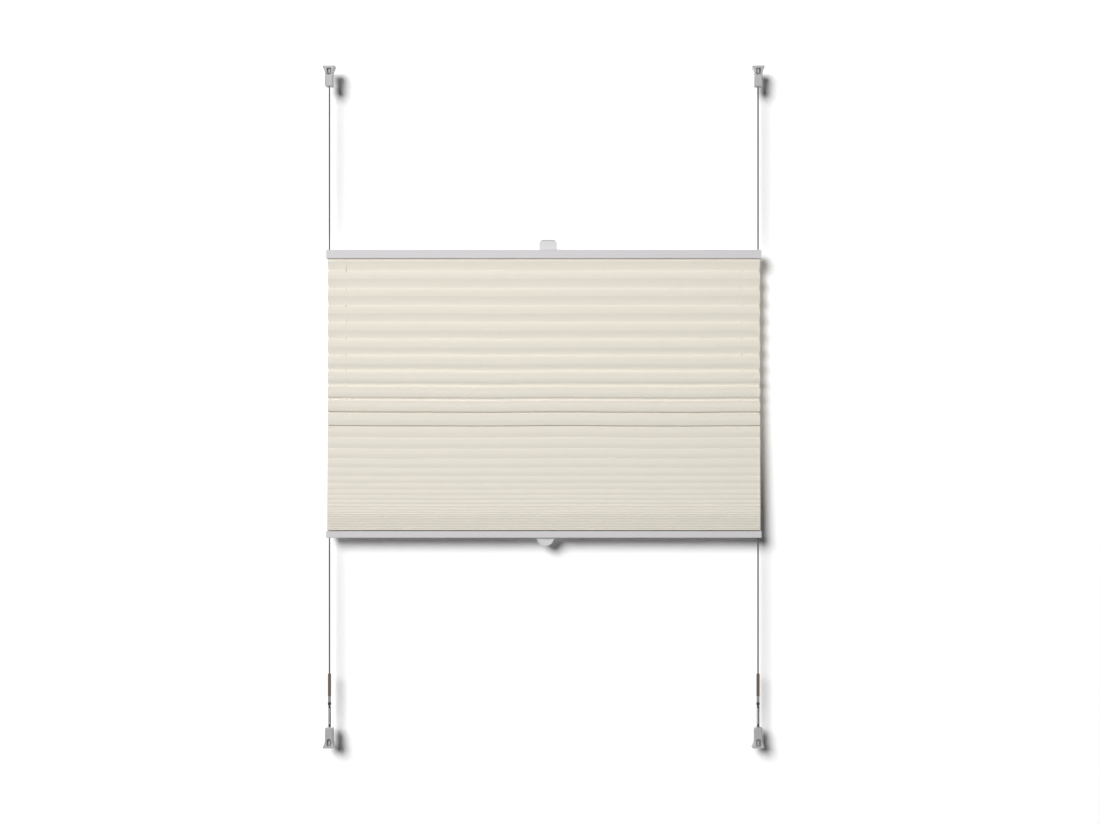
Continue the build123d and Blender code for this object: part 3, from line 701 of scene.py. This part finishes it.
# ------------------------------------------------------------------ finishes of the rigid parts
class BLIND_OT_finishes(bpy.types.Operator):
    """Give each rigid part its coating, plastic or metal"""
    bl_idname = "blind.finishes"
    bl_label = "Finishes"

    def execute(self, context):
        finish = context.scene.blind_finish
        drawn = {"Size": 700.0, "Stretch": (0.05, 1, 1)}
        moulded = {"Size": 900.0, "Stretch": (1, 1, 0.15)}
        turned = {"Size": 1500.0, "Stretch": (0.05, 0.05, 1)}
        cap = [0.97 * part for part in finish.rail]
        looks = {}
        # slot, material, colour, darkest and lightest share of it, roughness, relief, grain, shader
        for slot, name, colour, shares, rough, relief, grain, shader in (
                ("rail_aluminium", "Coated aluminium", finish.rail, (0.97, 1.03), (0.5, 0.62),
                 0.00003, drawn, {"Specular IOR Level": 0.35}),
                ("cap_plastic", "Cap plastic", cap, (0.97, 1.03), (0.42, 0.55), 0.00004, {}, {}),
                ("handle_plastic", "Handle plastic", finish.handle, (0.97, 1.02), (0.4, 0.5),
                 0.00003, {}, {}),
                ("shoe_plastic", "Shoe plastic", finish.shoe, (0.94, 1.05), (0.42, 0.58),
                 0.00006, {}, {}),
                ("guide_plastic", "Guide plastic", (0.8, 0.8, 0.78), (0.97, 1.03), (0.45, 0.6),
                 0.00004, {}, {}),
                ("strip_plastic", "Strip plastic", (0.8, 0.79, 0.77), (0.97, 1.03), (0.45, 0.6),
                 0.00004, drawn, {}),
                ("bead_plastic", "Bead plastic", (0.62, 0.62, 0.62), (0.97, 1.03), (0.35, 0.5),
                 0.00003, {}, {}),
                ("sleeve_plastic", "Sleeve plastic", finish.sleeve, (0.9, 1.1), (0.38, 0.55),
                 0.00005, moulded, {}),
                ("barrel_metal", "Turned metal", (0.42, 0.42, 0.41), (0.9, 1.08), (0.28, 0.42),
                 0.00002, turned, {"Metallic": 0.7}),
                ("collar_plastic", "Collar plastic", (0.04, 0.04, 0.042), (0.9, 1.1), (0.3, 0.42),
                 0.00003, {}, {}),
                ("spring_steel", "Spring wire", (0.085, 0.085, 0.088), (0.9, 1.12), (0.4, 0.5),
                 0.00002, {}, {"Metallic": 0.4}),
                ("anchor_steel", "Anchor steel", (0.12, 0.12, 0.12), (0.92, 1.08), (0.35, 0.45),
                 0.00002, {}, {"Metallic": 0.6})):
            looks[slot] = surface(name, "grain", colour, *shares, rough, relief, grain, shader)
        looks["cord"] = bpy.data.materials["Grey braid"]
        for entry in frame["record"]["subparts"]:
            node = frame["nodes"][entry["node"]]
            if entry["material_slot"] in looks:
                for holder in node.material_slots:
                    holder.material = looks[entry["material_slot"]]
        return {"FINISHED"}


# ------------------------------------------------------------------ stage
LENS, SENSOR = 53.4, 36.0
EYE_X, EYE_Y, EYE_BELOW_MIDDLE = 0.0115, -3.008, 0.0092
WALL_Y, WALL_TOP, STAGE_HALF_WIDTH = 0.031, 0.9, 2.4
FLOOR_BELOW, FLOOR_HALF_DEPTH = 0.25, 4.0
FLOOR_THROWS = 0.05  # share of the floor's colour in the light that it throws back
WORLD_LIGHTS, WORLD_SEEN = 0.04, 0.9  # the world's strength on the object and to the camera
LIGHTS = (  # name, offset from the blind's middle, size, watts, whether it lights the stage alone
    ("Wall light", (-13.0, -23.7, 12.0), 15.5, 12700, True),
    ("Key", (-0.7, -3.4, 0.7), 1.4, 76, False),
    ("Fill", (0.2, -3.3, -0.45), 6.0, 118, False),
    ("Back light", (-0.6, 2.6, 1.2), 2.4, 90, False),
)


def plane(name, corners, material):
    """A flat stage piece."""
    mesh = bpy.data.meshes.new(name)
    mesh.from_pydata(corners, [], [(0, 1, 2, 3)])
    mesh.materials.append(material)
    obj = bpy.data.objects.new(name, mesh)
    bpy.context.scene.collection.objects.link(obj)


def pale(name, colour, one_sided):
    """A matt pale surface.

    A one-sided one can't be seen from behind and lets light through. The other throws little
    light back."""
    material = bpy.data.materials.new(name)
    material.use_nodes = True
    tree = material.node_tree
    shade = tree.nodes["Principled BSDF"]
    linked(tree, shade, {"Base Color": (*colour, 1.0), "Roughness": 0.9, "Specular IOR Level": 0.1})
    if one_sided:
        maths = Maths(tree)
        behind = add(tree, "ShaderNodeNewGeometry").outputs["Backfacing"]
        shadow = add(tree, "ShaderNodeLightPath").outputs["Is Shadow Ray"]
        clear = add(tree, "ShaderNodeBsdfTransparent")
        mix = add(tree, "ShaderNodeMixShader", {
            0: maths("MAXIMUM", behind, shadow), 1: shade.outputs[0], 2: clear.outputs[0]})
        tree.links.new(mix.outputs[0], tree.nodes["Material Output"].inputs["Surface"])
    else:
        seen = add(tree, "ShaderNodeLightPath").outputs["Is Camera Ray"]
        tone = add(tree, "ShaderNodeMapRange", {
            "Value": seen, "To Min": FLOOR_THROWS, "To Max": 1.0}).outputs[0]
        tint = add(tree, "ShaderNodeVectorMath", {0: colour, "Scale": tone}, operation="SCALE")
        linked(tree, shade, {"Base Color": tint.outputs[0]})
    return material


def area_light(name, target, offset, size, watts, stage_alone):
    """A round soft light for the stage alone or for the object alone."""
    light = bpy.data.lights.new(name, "AREA")
    light.shape, light.size, light.energy = "DISK", size, watts
    obj = bpy.data.objects.new(name, light)
    obj.visible_camera = False
    obj.location = target + Vector(offset)
    obj.rotation_euler = (-Vector(offset)).to_track_quat("-Z", "Y").to_euler()
    bpy.context.scene.collection.objects.link(obj)
    lit = bpy.data.collections.new(f"{name} reach")
    obj.light_linking.receiver_collection = lit
    for part in ("wall", "floor"):
        lit.objects.link(bpy.data.objects[part])
    for entry in lit.collection_objects:
        entry.light_linking.link_state = "INCLUDE" if stage_alone else "EXCLUDE"


class BLIND_OT_camera(bpy.types.Operator):
    """Stand the camera straight in front"""
    bl_idname = "blind.camera"
    bl_label = "Camera"

    def execute(self, context):
        camera = bpy.data.cameras.new("Camera")
        camera.lens, camera.sensor_width = LENS, SENSOR
        eye = bpy.data.objects.new("Camera", camera)
        eye.location = (EYE_X, EYE_Y, (CAD_BOX[0][2] + CAD_BOX[1][2]) / 2 - EYE_BELOW_MIDDLE)
        eye.rotation_euler = (math.pi / 2, 0, 0)
        context.scene.collection.objects.link(eye)
        context.scene.camera = eye
        return {"FINISHED"}


class BLIND_OT_stage(bpy.types.Operator):
    """Set the wall, the floor and the light"""
    bl_idname = "blind.stage"
    bl_label = "Stage"

    def execute(self, context):
        scene = context.scene
        middle = (Vector(CAD_BOX[0]) + Vector(CAD_BOX[1])) / 2
        low, wide, deep = CAD_BOX[0][2] - FLOOR_BELOW, STAGE_HALF_WIDTH, FLOOR_HALF_DEPTH
        plane("wall", [(-wide, WALL_Y, low), (wide, WALL_Y, low),
                       (wide, WALL_Y, WALL_TOP), (-wide, WALL_Y, WALL_TOP)],
              pale("Wall", (0.93, 0.93, 0.93), True))
        plane("floor", [(-wide, -deep, low), (wide, -deep, low), (wide, deep, low), (-wide, deep, low)],
              pale("Floor", (0.85, 0.85, 0.85), False))
        for name, *light in LIGHTS:
            area_light(name, middle, *light)
        world = bpy.data.worlds.new("Studio")
        world.use_nodes = True
        tree = world.node_tree
        seen = add(tree, "ShaderNodeLightPath").outputs["Is Camera Ray"]
        glow = add(tree, "ShaderNodeMapRange", {
            "Value": seen, "To Min": WORLD_LIGHTS, "To Max": WORLD_SEEN}).outputs[0]
        linked(tree, tree.nodes["Background"], {"Color": (1, 1, 1, 1), "Strength": glow})
        scene.world = world
        scene.view_settings.view_transform = "Standard"
        return {"FINISHED"}


# ------------------------------------------------------------------ panel and run
OPERATORS = (BLIND_OT_camera, BLIND_OT_cords, BLIND_OT_cloth, BLIND_OT_finishes, BLIND_OT_stage)


class BLIND_PT_panel(bpy.types.Panel):
    bl_label = "Pleated Blind"
    bl_idname = "BLIND_PT_panel"
    bl_space_type = "VIEW_3D"
    bl_region_type = "UI"
    bl_category = "Blind"

    def draw(self, context):
        for settings in (context.scene.blind_cloth, context.scene.blind_finish):
            for name in settings.bl_rna.properties.keys():
                if name not in ("rna_type", "name"):
                    self.layout.prop(settings, name)
        for operator in OPERATORS:
            self.layout.operator(operator.bl_idname)


CLASSES = (BlindClothSettings, BlindFinishSettings, *OPERATORS, BLIND_PT_panel)


def register():
    for cls in CLASSES:
        bpy.utils.register_class(cls)
    bpy.types.Scene.blind_cloth = bpy.props.PointerProperty(type=BlindClothSettings)
    bpy.types.Scene.blind_finish = bpy.props.PointerProperty(type=BlindFinishSettings)


def unregister():
    del bpy.types.Scene.blind_finish
    del bpy.types.Scene.blind_cloth
    for cls in reversed(CLASSES):
        bpy.utils.unregister_class(cls)


def main():
    register()
    bpy.ops.blind.camera()
    bpy.ops.blind.cords()
    bpy.ops.blind.cloth()
    bpy.ops.blind.finishes()
    bpy.ops.blind.stage()


if __name__ == "__main__":
    main()
